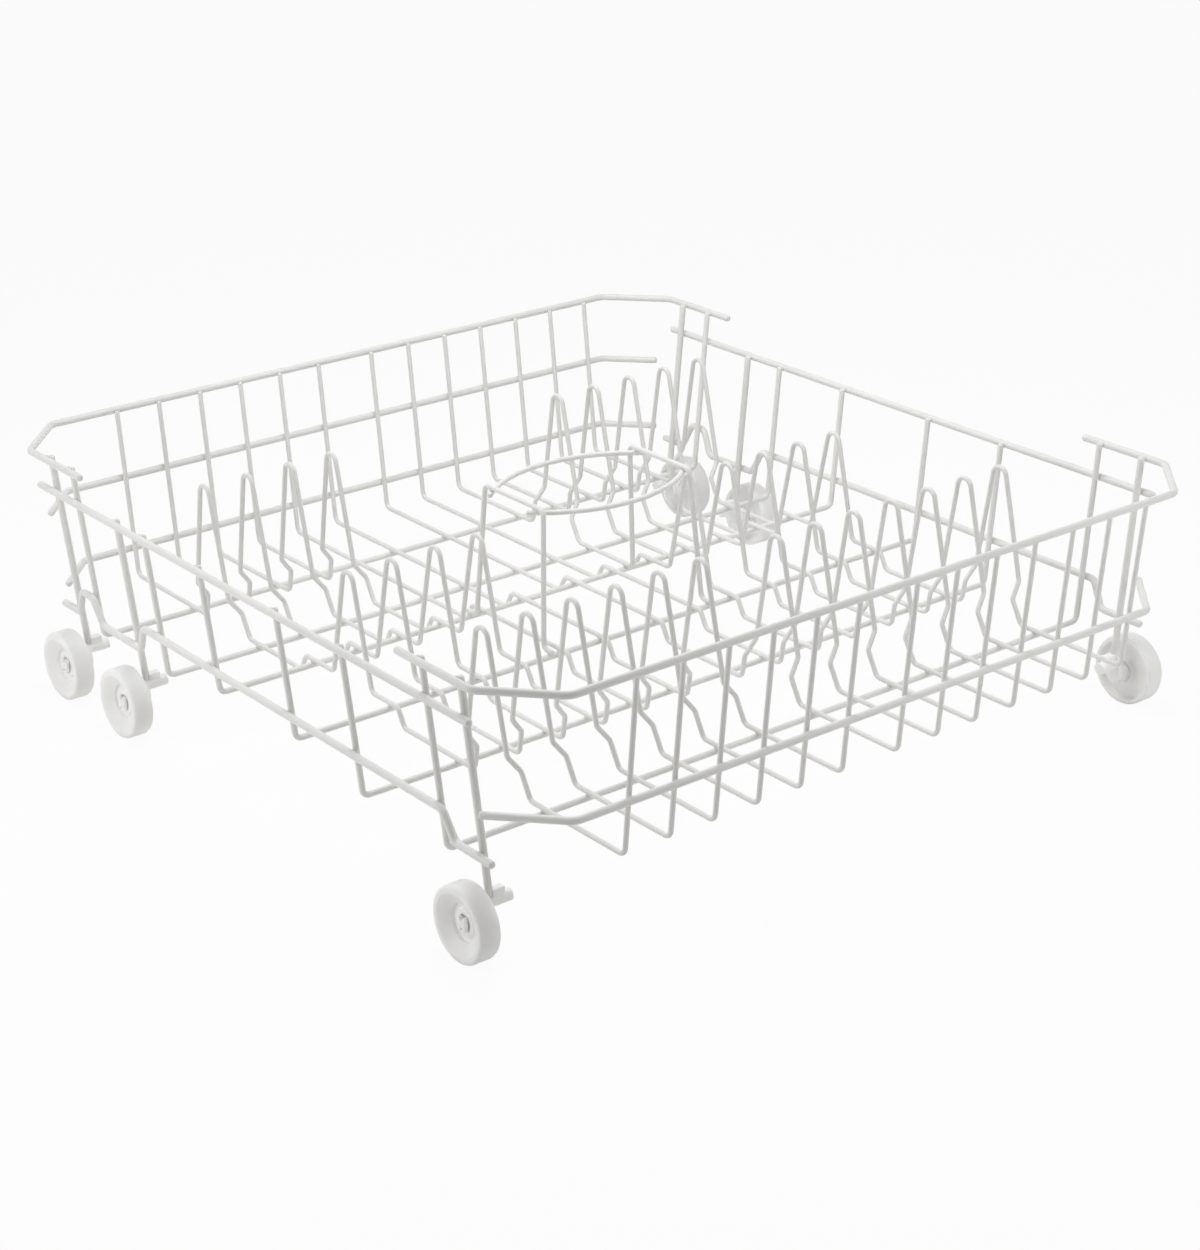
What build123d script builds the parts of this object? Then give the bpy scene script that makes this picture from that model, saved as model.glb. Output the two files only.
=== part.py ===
"""Lower dishwasher rack: a coated wire basket on six snap-in wheels.

Millimetres. X runs from side to side, Y from the front wall to the back wall, Z up from the ground.
"""

import os
from math import asin, atan2, ceil, cos, degrees, radians, sin, tan

from build123d import *

# Walls, measured over the rim's wire centres
rim_width = 501.0
rim_depth = 527.0
rim_z = 156.2
wall_lean = 6.0  # degrees outwards, the same for all four walls
corner_cut_x = 33.0
corner_cut_y = 36.0
rim_arm = 64.0  # along the side wall, past the cut corner
tip_rise = 1.3  # how far wire ends stand above the centre of the rail that holds them
tine_tip_rise = 0.3  # the same for the tine wires behind the rims
back_rail_trim = 6.0  # the lower rails of the back wall stop this far short of the side walls

# Wire diameters over the coating, and bends to the wire's centre
rail_d = 4.4
post_d = 4.2
cross_d = 3.6
tine_d = 3.0
guide_d = 3.2
rail_bend = 9.0
jog_bend = 5.5
cross_bend = 4.5
wall_bend = 5.0
foot_bend = 4.5
kink_bend = 4.0
guide_bend = 4.0
wire_sides = 8  # flats round a wire, with its diameter measured across them
bend_turn = 65.0  # degrees: a bend is drawn as straight chords that each turn less than this
bow_turn = 16.0  # the same for the long bow of a guide hoop
weld_bite = 0.03  # how far two crossing wires sink into each other at a weld

# Rail heights
side_rail_z = 135.8
side_low_z = 73.2
side_dip_z = 56.7
back_mid_z = 112.7
back_low_z = 66.2
front_low_z = 83.2
side_rail_inset = 40.5  # the upper side rails end this far inside the rims

# Floor: cross wires from front to back, and the step up to the two middle ones
floor_z = 45.7
floor_step = 10.8
cross_front_inset = 83.5  # these four from the rim of the nearer end wall
cross_front_inner_inset = 161.5
cross_back_inner_inset = 159.5
cross_back_inset = 81.5
cross_middle_front_y = -38.0
cross_middle_back_y = 42.0
step_past = 7.5  # from a raised cross wire to where the tine wire starts down
step_run = 6.0  # length of the slope down

# Tine wires: two banks, seen from the front
tine_pitch = 30.0
left_bank_x = -173.4
left_bank_wires = 6
right_bank_x = 18.2
right_bank_wires = 7
left_tined_wires = 4  # those with a middle and a back tine too, from the outside
right_tined_wires = 5

# Tines, at the wire's centre
front_tine_inset = 125.2  # from the front rim
middle_tine_y = 0.0
back_tine_inset = 119.8  # from the back rim
tine_top_z = 140.7
middle_tine_top_z = 127.2
tine_tip = 5.4  # tip radius
tine_front_lean = 12.9  # degrees
tine_back_lean = 9.8
middle_tine_lean = 12.8
tine_shift = 7.2  # how far the tine stands sideways from its wire, away from the middle
kink_top = 24.0  # above the floor stretch
kink_bottom = 14.5
front_foot_run = 8.0
back_foot_run = 2.5

# Centre guide
guide_half_width = 55.0
guide_half_depth = 28.5
guide_y = 1.5
guide_bar_z = 143.5
guide_splay_x = 5.5
guide_splay_y = 5.0
guide_foot_past = 3.0  # the feet reach this far past their cross wires
hoop_inset = 6.4  # from a bar's corner to where the hoop passes under the bar
hoop_rise = 20.6  # from there to the middle of the bow
hoop_tail = 6.0  # past the bar

# Wheels, posts and axle clips
wheel_r = 21.5
wheel_width = 13.0
wheel_sides = 20  # flats round a wheel, with its diameter measured across them
wheel_overhang = 3.8  # of the wheel's outer face past the rim's wire
wheel_front_inset = 50.5  # from the rims, as for the cross wires
wheel_middle_inset = 127.5
wheel_back_inset = 55.5
post_foot_z = 27.0

# Dips of the lower side rails, measured from the posts
dip_end = 14.0  # to the rail's free ends, past the front and back posts
dip_front = 18.3
dip_middle_front = 10.0
dip_middle_back = 35.4
dip_back = 7.4
jog_run = 8.0

tread_wall = 3.0
tread_chamfer = 1.5
dish_edge = 17.6  # radius where the dish starts
dish_depth = 4.6
well_r = 11.0  # flat-floored well at the foot of the dish
well_depth = 6.6
web = 2.2
hub_r = 7.6
hub_setback = 5.2  # hub face behind the wheel's outer face
axle_r = 4.5
axle_clearance = 0.08
axle_play = 0.3
snap_lip = 0.9
snap_length = 2.0
snap_notch = 2.0  # width of the notches at the pin's top and bottom
snap_notch_depth = 2.2
snap_notch_length = 6.5

clip_sides = 10
clip_flange_r = 6.6
clip_flange = 3.4
clip_arm = 4.2  # thickness of the arm from the axle up to the stub
clip_arm_r = 5.0
stub_r = 3.5
stub_rise = 7.0  # above the axle
stub_past_post = 12.5
tab_width = 5.0
tab_setback = 4.6  # from the stub's end
tab_rise = 3.4  # above the stub
socket_clearance = 0.1

LEFT, RIGHT = -1, 1
SIDES = {"left": LEFT, "right": RIGHT}
lean = tan(radians(wall_lean))

# Places that follow the walls
half_depth = rim_depth / 2
cross_front_y = cross_front_inset - half_depth
cross_front_inner_y = cross_front_inner_inset - half_depth
cross_back_inner_y = half_depth - cross_back_inner_inset
cross_back_y = half_depth - cross_back_inset
front_tine_y = front_tine_inset - half_depth
back_tine_y = half_depth - back_tine_inset
wheel_front_y = wheel_front_inset - half_depth
wheel_middle_y = half_depth - wheel_middle_inset
wheel_back_y = half_depth - wheel_back_inset
wheel_face_x = rim_width / 2 + wheel_overhang


def side_x(z, inner_d=0.0):
    """Distance of a side rail's centre from the middle at a height, or of a wire welded inside it."""
    return rim_width / 2 - (rim_z - z) * lean - inset(inner_d)


def end_y(z, inner_d=0.0):
    """The same for the front and back walls."""
    return rim_depth / 2 - (rim_z - z) * lean - inset(inner_d)


def inset(inner_d):
    """Level distance between a rail's centre and that of a wire welded to its inner side."""
    return ((rail_d + inner_d) / 2 - weld_bite) / cos(radians(wall_lean)) if inner_d else 0.0


def rounded(corners, bends, turn):
    """Replaces each inner corner by the corners of chords that touch its bend."""
    points = [Vector(*corner) for corner in corners]
    path = [points[0]]
    for before, corner, after, bend in zip(points, points[1:], points[2:], bends):
        into, out = (corner - before).normalized(), (after - corner).normalized()
        angle = radians(into.get_angle(out))
        chords = max(1, ceil(angle / radians(turn)))
        inward = (out - into).normalized()
        centre = corner + inward * (bend / cos(angle / 2))
        along = (into + out).normalized()
        reach = bend / cos(angle / chords / 2)
        for chord in range(chords):
            swing = (chord + 0.5) * angle / chords - angle / 2
            path.append(centre + (along * sin(swing) - inward * cos(swing)) * reach)
    return path + [points[-1]]


def flat_sided(radius, sides):
    """Outline with flats at a radius, one of them facing along X."""
    return RegularPolygon(radius, sides, major_radius=False, rotation=180 / sides)


def wire(corners, bends, diameter, turn=bend_turn):
    """A wire along the corners, with one bend radius for all of them or one for each."""
    if not isinstance(bends, list):
        bends = [bends] * (len(corners) - 2)
    path = rounded(corners, bends, turn)
    section = Plane(origin=path[0], z_dir=path[1] - path[0]) * flat_sided(diameter / 2, wire_sides)
    return sweep(section, path=Polyline(*path), transition=Transition.RIGHT)


def end_rim(end):
    """Top wire of the front (-1) or back (1) wall, with its cut corners and side arms."""
    x, y = side_x(rim_z), end_y(rim_z)
    half = [(x, y - corner_cut_y - rim_arm), (x, y - corner_cut_y), (x - corner_cut_x, y)]
    corners = [(-a, end * b, rim_z) for a, b in half] + [(a, end * b, rim_z) for a, b in reversed(half)]
    return wire(corners, rail_bend, rail_d)


def end_rail(end, z, trim=0.0):
    """Lower rail of an end wall, bent at the cut corners, that stops short of the side walls by a trim."""
    x, y = side_x(z), end_y(z)
    kept = 1 - trim / corner_cut_x
    half = [(x - trim, y - corner_cut_y * kept), (x - corner_cut_x, y)]
    corners = [(-a, end * b, z) for a, b in half] + [(a, end * b, z) for a, b in reversed(half)]
    return wire(corners, rail_bend, rail_d)


def upper_rail(side):
    x, reach = side * side_x(side_rail_z), half_depth - side_rail_inset
    return wire([(x, -reach, side_rail_z), (x, reach, side_rail_z)], [], rail_d)


def lower_rail(side):
    """Lower side rail, which dips at each wheel post."""
    high, low = side_low_z, side_dip_z
    stations = [
        (wheel_front_y - dip_end, low),
        (wheel_front_y + dip_front, low),
        (wheel_front_y + dip_front + jog_run, high),
        (wheel_middle_y - dip_middle_front - jog_run, high),
        (wheel_middle_y - dip_middle_front, low),
        (wheel_middle_y + dip_middle_back, low),
        (wheel_middle_y + dip_middle_back + jog_run, high),
        (wheel_back_y - dip_back - jog_run, high),
        (wheel_back_y - dip_back, low),
        (wheel_back_y + dip_end, low),
    ]
    return wire([(side * side_x(z), y, z) for y, z in stations], jog_bend, rail_d)


def cross_wire(y, raised, top_rail_z):
    """Wire up a side wall, across the floor and up the other side."""
    bottom, top = floor_z + raised, top_rail_z + tip_rise
    half = [(side_x(top, cross_d), top), (side_x(bottom, cross_d), bottom)]
    corners = [(-x, y, z) for x, z in half] + [(x, y, z) for x, z in reversed(half)]
    return wire(corners, cross_bend, cross_d)


tine_floor_z = floor_z + (cross_d + tine_d) / 2 - weld_bite


def tine(x, apex_y, top, front_lean, back_lean, base, shift):
    """Corners and bends of one tine from its front foot to its back foot."""
    front, back = tan(radians(front_lean)), tan(radians(back_lean))
    half_angle = radians(front_lean + back_lean) / 2
    apex = top + tine_tip * (1 / sin(half_angle) - 1)
    if not shift:
        feet = [(x, apex_y - (apex - base) * front, base), (x, apex_y + (apex - base) * back, base)]
        return [feet[0], (x, apex_y, apex), feet[1]], [foot_bend, tine_tip, foot_bend]
    upper, lower = base + kink_top, base + kink_bottom
    front_y, back_y = apex_y - (apex - upper) * front, apex_y + (apex - upper) * back
    corners = [
        (x, front_y - front_foot_run - (upper - lower) * front, base),
        (x, front_y - (upper - lower) * front, lower),
        (x + shift, front_y, upper),
        (x + shift, apex_y, apex),
        (x + shift, back_y, upper),
        (x, back_y + (upper - lower) * back, lower),
        (x, back_y + (upper - lower) * back + back_foot_run, base),
    ]
    return corners, [foot_bend, kink_bend, kink_bend, tine_tip, kink_bend, kink_bend, foot_bend]


def tine_wire(x, tined, outwards):
    """One wire from the front rim along the floor to the back rim, with one tine or three."""
    low, high, top = tine_floor_z, tine_floor_z + floor_step, rim_z + tine_tip_rise
    shift = outwards * tine_shift
    tall = (tine_top_z, tine_front_lean, tine_back_lean, low, shift)
    plain = (middle_tine_top_z, middle_tine_lean, middle_tine_lean, high, 0)
    front_step, back_step = cross_middle_front_y - step_past, cross_middle_back_y + step_past

    stretches = [([(x, -end_y(low, tine_d), low)], [wall_bend]), tine(x, front_tine_y, *tall)]
    stretches += [([(x, front_step - step_run, low), (x, front_step, high)], [foot_bend] * 2)]
    if tined:
        stretches += [tine(x, middle_tine_y, *plain)]
    stretches += [([(x, back_step, high), (x, back_step + step_run, low)], [foot_bend] * 2)]
    if tined:
        stretches += [tine(x, back_tine_y, *tall)]
    stretches += [([(x, end_y(low, tine_d), low)], [wall_bend])]

    corners = [corner for stretch, _ in stretches for corner in stretch]
    bends = [bend for _, stretch in stretches for bend in stretch]
    start, end = (x, -end_y(top, tine_d), top), (x, end_y(top, tine_d), top)
    return wire([start, *corners, end], bends, tine_d)


def guide_frame(side):
    """Bent frame of the centre guide: two legs joined by a bar, with feet on the raised cross wires."""
    foot_z = floor_z + floor_step + (cross_d + guide_d) / 2 - weld_bite
    top_x, foot_x = side * guide_half_width, side * (guide_half_width + guide_splay_x)
    front, back = guide_y - guide_half_depth, guide_y + guide_half_depth
    corners = [
        (foot_x, cross_middle_front_y - guide_foot_past, foot_z),
        (foot_x, front - guide_splay_y, foot_z),
        (top_x, front, guide_bar_z),
        (top_x, back, guide_bar_z),
        (foot_x, back + guide_splay_y, foot_z),
        (foot_x, cross_middle_back_y + guide_foot_past, foot_z),
    ]
    return wire(corners, guide_bend, guide_d)


def guide_hoop(end):
    """Bowed wire under the bars of both guide frames, with straight tails past them."""
    half_chord = guide_half_width
    radius = (half_chord**2 + hoop_rise**2) / (2 * hoop_rise)
    half_angle = asin(half_chord / radius)
    under_bar = guide_half_depth - hoop_inset
    tail_x = half_chord + hoop_tail * cos(half_angle)
    tail_y = guide_y + end * (under_bar - hoop_tail * sin(half_angle))
    peak_y = guide_y + end * (under_bar + half_chord * tan(half_angle))
    z = guide_bar_z - guide_d + weld_bite
    return wire([(-tail_x, tail_y, z), (0, peak_y, z), (tail_x, tail_y, z)], radius, guide_d, bow_turn)


def post_x(z):
    return side_x(z, post_d)


def wheel_post(side, y, top_rail_z):
    top = top_rail_z + tip_rise
    return wire([(side * post_x(top), y, top), (side * post_x(post_foot_z), y, post_foot_z)], [], post_d)


def on_axle(shape, side, y):
    """Stands a piece made along Z on a wheel's axle, with its foot on the wheel's outer face."""
    turned = Rotation(0, -90 * side, 0) * shape
    return Location((side * wheel_face_x, y, wheel_r)) * turned


def disc(radius, start, end, sides=wheel_sides):
    """Flat-sided disc along Z."""
    return Pos(0, 0, start) * extrude(flat_sided(radius, sides), end - start)


def tapered(start_r, end_r, start, end, sides):
    """Flat-sided cone along Z between two radii."""
    slope = degrees(atan2(start_r - end_r, end - start))
    return Pos(0, 0, start) * extrude(flat_sided(start_r, sides), end - start, taper=slope)


def wheel():
    """Wheel along Z with its outer face at zero: dished outside down to a well round the hub, hollow inside."""
    cup_r, floor = wheel_r - tread_wall, well_depth + web
    body = disc(wheel_r, 0, wheel_width)
    body = chamfer(body.edges().group_by(Axis.Z)[0], tread_chamfer)
    body -= tapered(dish_edge, well_r, 0, dish_depth, wheel_sides)
    body -= disc(well_r, 0, well_depth)
    body -= disc(cup_r, floor, wheel_width)
    body += disc(hub_r, hub_setback, wheel_width)
    return body - extrude(Circle(axle_r + axle_clearance), wheel_width)


def snap_pin(start, flange_face, head_start):
    """Axle along Z with its flange, and a snap lip with a notch at top and bottom."""
    end = head_start + snap_length
    pin = disc(clip_flange_r, start, flange_face, clip_sides)
    pin += Pos(0, 0, start) * extrude(Circle(axle_r), head_start - start)
    pin += tapered(axle_r + snap_lip, axle_r, head_start, end, clip_sides)
    notch = Box(snap_notch_depth + snap_lip, snap_notch, snap_notch_length)
    for turn in (LEFT, RIGHT):
        notch_x = turn * (axle_r + (snap_lip - snap_notch_depth) / 2)
        pin -= Pos(notch_x, 0, end - snap_notch_length / 2) * notch
    return pin


def axle_clip(side, y):
    """Moulded clip on a post's end: a stub that takes the post, an arm down to the axle and the snap pin."""
    flange_face = wheel_face_x - wheel_width - axle_play
    arm_face = flange_face - clip_flange
    stub_z = wheel_r + stub_rise
    stub_start = post_x(stub_z) - stub_past_post

    foot, head = flat_sided(clip_arm_r, wire_sides), flat_sided(stub_r, wire_sides)
    outline = make_hull(foot.edges() + (Pos(0, stub_rise) * head).edges())
    body = Pos(arm_face - clip_arm, 0, wheel_r) * extrude(Plane.YZ * outline, clip_arm)
    body += wire([(stub_start, 0, stub_z), (arm_face, 0, stub_z)], [], 2 * stub_r)
    tab_start, tab_end = stub_start + tab_setback, post_x(stub_z)
    tab_top = stub_z + stub_r + tab_rise
    tab = Box(tab_end - tab_start, tab_width, tab_top - stub_z)
    body += Pos((tab_start + tab_end) / 2, 0, (stub_z + tab_top) / 2) * tab

    pin = snap_pin(arm_face, flange_face, wheel_face_x - hub_setback + axle_play)
    clip = body + Pos(0, 0, wheel_r) * (Rotation(0, 90, 0) * pin)
    socket_d = post_d + 2 * socket_clearance
    low, high = post_foot_z, tab_top + socket_d
    clip -= wire([(post_x(low), 0, low), (post_x(high), 0, high)], [], socket_d)
    return Pos(0, y, 0) * (clip if side == RIGHT else mirror(clip, Plane.YZ))


def build():
    nodes = {
        "front_rim": end_rim(-1),
        "back_rim": end_rim(1),
        "front_low_rail": end_rail(-1, front_low_z),
        "back_middle_rail": end_rail(1, back_mid_z, back_rail_trim),
        "back_low_rail": end_rail(1, back_low_z, back_rail_trim),
        "guide_hoop_front": guide_hoop(-1),
        "guide_hoop_back": guide_hoop(1),
    }
    cross_wires = [
        (cross_front_y, 0, rim_z),
        (cross_front_inner_y, 0, side_rail_z),
        (cross_middle_front_y, floor_step, side_rail_z),
        (cross_middle_back_y, floor_step, side_rail_z),
        (cross_back_inner_y, 0, side_rail_z),
        (cross_back_y, 0, rim_z),
    ]
    for number, (y, raised, top) in enumerate(cross_wires, 1):
        nodes[f"cross_wire_{number}"] = cross_wire(y, raised, top)

    left = [(left_bank_x + i * tine_pitch, i < left_tined_wires, LEFT) for i in range(left_bank_wires)]
    first_tined = right_bank_wires - right_tined_wires
    right = [(right_bank_x + i * tine_pitch, i >= first_tined, RIGHT) for i in range(right_bank_wires)]
    for number, (x, tined, outwards) in enumerate(left + right, 1):
        nodes[f"tine_wire_{number:02d}"] = tine_wire(x, tined, outwards)

    stations = {
        "front": (wheel_front_y, rim_z),
        "middle": (wheel_middle_y, side_rail_z),
        "back": (wheel_back_y, rim_z),
    }
    for name, side in SIDES.items():
        nodes[f"{name}_upper_rail"] = upper_rail(side)
        nodes[f"{name}_lower_rail"] = lower_rail(side)
        nodes[f"guide_frame_{name}"] = guide_frame(side)
        for place, (y, top) in stations.items():
            nodes[f"post_{name}_{place}"] = wheel_post(side, y, top)
            nodes[f"axle_clip_{name}_{place}"] = axle_clip(side, y)
            nodes[f"wheel_{name}_{place}"] = on_axle(wheel(), side, y)
    return nodes


os.makedirs("parts", exist_ok=True)
for node, solid in build().items():
    export_step(solid, f"parts/{node}.step")
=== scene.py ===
"""Dresses the lower dishwasher rack: coated wires and welds, moulded wheels and axle clips, and a plain studio."""

import logging
import math
from dataclasses import dataclass
from enum import Enum
from itertools import combinations, product

import bmesh
import bpy
from mathutils import Matrix, Vector
from mathutils.geometry import intersect_line_line


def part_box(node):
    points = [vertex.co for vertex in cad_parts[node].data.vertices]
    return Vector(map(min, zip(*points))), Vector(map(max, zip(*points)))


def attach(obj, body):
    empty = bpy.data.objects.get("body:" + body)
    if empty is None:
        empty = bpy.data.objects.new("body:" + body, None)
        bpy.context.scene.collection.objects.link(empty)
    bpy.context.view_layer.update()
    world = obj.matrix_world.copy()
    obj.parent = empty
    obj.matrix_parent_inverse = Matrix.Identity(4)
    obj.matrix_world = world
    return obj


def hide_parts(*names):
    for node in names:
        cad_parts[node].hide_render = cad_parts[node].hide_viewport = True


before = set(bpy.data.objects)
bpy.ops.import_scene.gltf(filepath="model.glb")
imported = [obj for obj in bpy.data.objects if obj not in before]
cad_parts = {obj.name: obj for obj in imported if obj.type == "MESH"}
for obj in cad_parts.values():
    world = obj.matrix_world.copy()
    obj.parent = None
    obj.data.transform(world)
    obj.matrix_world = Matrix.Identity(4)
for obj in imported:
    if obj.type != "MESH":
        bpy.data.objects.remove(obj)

LOG = logging.getLogger("rack")
MM = 0.001
RACK = "rack"
PLACES = ("front", "middle", "back")
NOISE_LOW, NOISE_HIGH = 0.3, 0.7
WHITE = (1.0, 1.0, 1.0, 1.0)

Pair = tuple[float, float]
Triple = tuple[float, float, float]
Socket = bpy.types.NodeSocket


class Way(Enum):
    """A way along an axis, with its sign."""

    @property
    def label(self) -> str:
        """The word for it in the nodes' names."""
        return self.name.lower()


class Side(Way):
    """The rack's sides, with the sign of X."""

    LEFT = -1
    RIGHT = 1


class End(Way):
    """The rack's ends, with the sign of Y."""

    FRONT = -1
    BACK = 1


class Slot(Enum):
    """Material slots of the record."""

    WIRE = "coated_wire"
    WHEEL = "wheel_plastic"
    CLIP = "clip_plastic"


# Shared steps


def linked(name: str, data: bpy.types.ID) -> bpy.types.Object:
    """Puts a mesh, a lamp or a camera into the scene at the origin.

    Args:
        name: the new object's name.
        data: what it shows.

    Returns:
        The object.
    """
    piece = bpy.data.objects.new(name, data)
    bpy.context.scene.collection.objects.link(piece)
    return piece


def evaluated_mesh(piece: bpy.types.Object) -> bpy.types.Mesh:
    """Gives a piece's mesh with its modifiers applied."""
    graph = bpy.context.evaluated_depsgraph_get()
    return bpy.data.meshes.new_from_object(piece.evaluated_get(graph))


def set_inputs(node: bpy.types.Node, values: dict[str, object]) -> None:
    """Sets a node's inputs, with an underscore for each space in a socket's name."""
    for label, value in values.items():
        node.inputs[label.replace("_", " ")].default_value = value


def middle(node: str) -> Vector:
    """Middle of a node's box."""
    low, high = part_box(node)
    return (low + high) / 2


def sweep(start: float, swing: float, steps: int) -> list[float]:
    """Angles from a start through a swing, both ends included."""
    return [start + step * swing / steps for step in range(steps + 1)]


# Finishes


@dataclass(frozen=True)
class ShaderSheet:
    """The node tree of a material or a world, with short ways to add nodes and links."""

    owner: bpy.types.ID

    @classmethod
    def on(cls, owner: bpy.types.ID) -> "ShaderSheet":
        """Starts the empty node tree of a new material or world.

        Args:
            owner: the material or world.

        Returns:
            Its sheet.
        """
        owner.use_nodes = True
        owner.node_tree.nodes.clear()
        return cls(owner)

    def add(self, kind: str, **values: object) -> bpy.types.Node:
        """Adds a node and sets its inputs by name.

        Args:
            kind: the node's type name.
            values: input values by the socket's name, with underscores for its spaces.

        Returns:
            The new node.
        """
        node = self.owner.node_tree.nodes.new(kind)
        set_inputs(node, values)
        return node

    def link(self, source: Socket, target: Socket) -> None:
        """Joins two sockets."""
        self.owner.node_tree.links.new(source, target)

    def combined(self, operation: str, first: Socket, second: Socket | float) -> Socket:
        """Combines two values in a Math node.

        Args:
            operation: what the node does.
            first: the first value.
            second: the second value, a socket or a plain number.

        Returns:
            The result's socket.
        """
        node = self.add("ShaderNodeMath")
        node.operation = operation
        self.link(first, node.inputs[0])
        if isinstance(second, Socket):
            self.link(second, node.inputs[1])
        else:
            node.inputs[1].default_value = second
        return node.outputs[0]

    def noise(self, scale: float, detail: float) -> Socket:
        """Adds a noise on object coordinates.

        Args:
            scale: features per metre.
            detail: octaves.

        Returns:
            The noise's value socket.
        """
        place = self.add("ShaderNodeTexCoord")
        node = self.add("ShaderNodeTexNoise", Scale=scale, Detail=detail)
        self.link(place.outputs["Object"], node.inputs["Vector"])
        return node.outputs["Fac"]

    def between(self, factor: Socket, low: float, high: float) -> Socket:
        """Maps a noise's usual span onto a range.

        Args:
            factor: the noise.
            low: value at its low end.
            high: value at its high end.

        Returns:
            The mapped value's socket.
        """
        node = self.add("ShaderNodeMapRange", From_Min=NOISE_LOW, From_Max=NOISE_HIGH, To_Min=low, To_Max=high)
        self.link(factor, node.inputs["Value"])
        return node.outputs["Result"]

    def tint(self, factor: Socket, first: Triple, second: Triple) -> Socket:
        """Mixes two colours by a noise.

        Args:
            factor: the noise.
            first: colour at its low end.
            second: colour at its high end.

        Returns:
            The mixed colour's socket.
        """
        node = self.add("ShaderNodeValToRGB")
        low, high = node.color_ramp.elements
        low.position, low.color = NOISE_LOW, (*first, 1.0)
        high.position, high.color = NOISE_HIGH, (*second, 1.0)
        self.link(factor, node.inputs["Fac"])
        return node.outputs["Color"]

    def bump(self, factors: list[tuple[Socket, float]]) -> Socket:
        """Stacks bumps on each other.

        Args:
            factors: heights with their depths in metres.

        Returns:
            The normal's socket.
        """
        normal = None
        for height, depth in factors:
            node = self.add("ShaderNodeBump", Strength=1.0, Distance=depth)
            self.link(height, node.inputs["Height"])
            if normal is not None:
                self.link(normal, node.inputs["Normal"])
            normal = node.outputs["Normal"]
        return normal

    def mixed(self, share: Socket, first: bpy.types.Node, second: bpy.types.Node) -> Socket:
        """Mixes two shaders.

        Args:
            share: the second shader's share.
            first: the first shader's node.
            second: the second shader's node.

        Returns:
            The mixed shader's socket.
        """
        node = self.add("ShaderNodeMixShader")
        for source, target in zip((share, first.outputs[0], second.outputs[0]), node.inputs):
            self.link(source, target)
        return node.outputs[0]

    def close(self, shader: Socket, kind: str = "ShaderNodeOutputMaterial") -> bpy.types.ID:
        """Joins a shader to the output.

        Args:
            shader: the finished shader's socket.
            kind: the output node's type name.

        Returns:
            The material or world.
        """
        self.link(shader, self.add(kind).inputs["Surface"])
        return self.owner


@dataclass(frozen=True)
class WireCoating:
    """Satin coating of the wire, dipped and fused, with a faint orange peel and slow runs in its tone."""

    name: str = "wire_coating"
    pale: Triple = (0.83, 0.825, 0.81)
    grey: Triple = (0.78, 0.777, 0.76)
    ior: float = 1.5
    specular: float = 0.45
    tone_scale: float = 14.0
    tone_detail: float = 3.0
    peel_scale: float = 620.0
    peel_depth: float = 0.05 * MM
    run_scale: float = 95.0
    run_depth: float = 0.10 * MM
    fine_detail: float = 2.0
    roughness: Pair = (0.34, 0.46)

    def material(self) -> bpy.types.Material:
        """Builds the coating's material.

        Returns:
            The material.
        """
        sheet = ShaderSheet.on(bpy.data.materials.new(self.name))
        shader = sheet.add("ShaderNodeBsdfPrincipled", IOR=self.ior, Specular_IOR_Level=self.specular)
        tone = sheet.noise(self.tone_scale, self.tone_detail)
        sheet.link(sheet.tint(tone, self.grey, self.pale), shader.inputs["Base Color"])
        runs = sheet.noise(self.run_scale, self.fine_detail)
        sheet.link(sheet.between(runs, *self.roughness), shader.inputs["Roughness"])
        peel = sheet.noise(self.peel_scale, self.fine_detail)
        normal = sheet.bump([(runs, self.run_depth), (peel, self.peel_depth)])
        sheet.link(normal, shader.inputs["Normal"])
        return sheet.close(shader.outputs["BSDF"])


@dataclass(frozen=True)
class MouldedPlastic:
    """White moulded plastic that lets a little light in, with a fine spark texture."""

    name: str
    pale: Triple
    warm: Triple
    ior: float = 1.49
    specular: float = 0.42
    roughness: Pair = (0.36, 0.48)
    glow: float = 0.8
    glow_radius: Triple = (1.0, 0.96, 0.92)
    glow_depth: float = 3.2 * MM
    cloud_scale: float = 60.0
    cloud_detail: float = 3.0
    spark_scale: float = 1500.0
    spark_detail: float = 2.0
    spark_depth: float = 0.03 * MM

    def material(self) -> bpy.types.Material:
        """Builds the plastic's material.

        Returns:
            The material.
        """
        sheet = ShaderSheet.on(bpy.data.materials.new(self.name))
        shader = sheet.add(
            "ShaderNodeBsdfPrincipled", IOR=self.ior, Specular_IOR_Level=self.specular,
            Subsurface_Weight=self.glow, Subsurface_Radius=self.glow_radius, Subsurface_Scale=self.glow_depth,
        )
        cloud = sheet.noise(self.cloud_scale, self.cloud_detail)
        sheet.link(sheet.tint(cloud, self.warm, self.pale), shader.inputs["Base Color"])
        sheet.link(sheet.between(cloud, *self.roughness), shader.inputs["Roughness"])
        spark = sheet.noise(self.spark_scale, self.spark_detail)
        sheet.link(sheet.bump([(spark, self.spark_depth)]), shader.inputs["Normal"])
        return sheet.close(shader.outputs["BSDF"])


# Node trees


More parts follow.
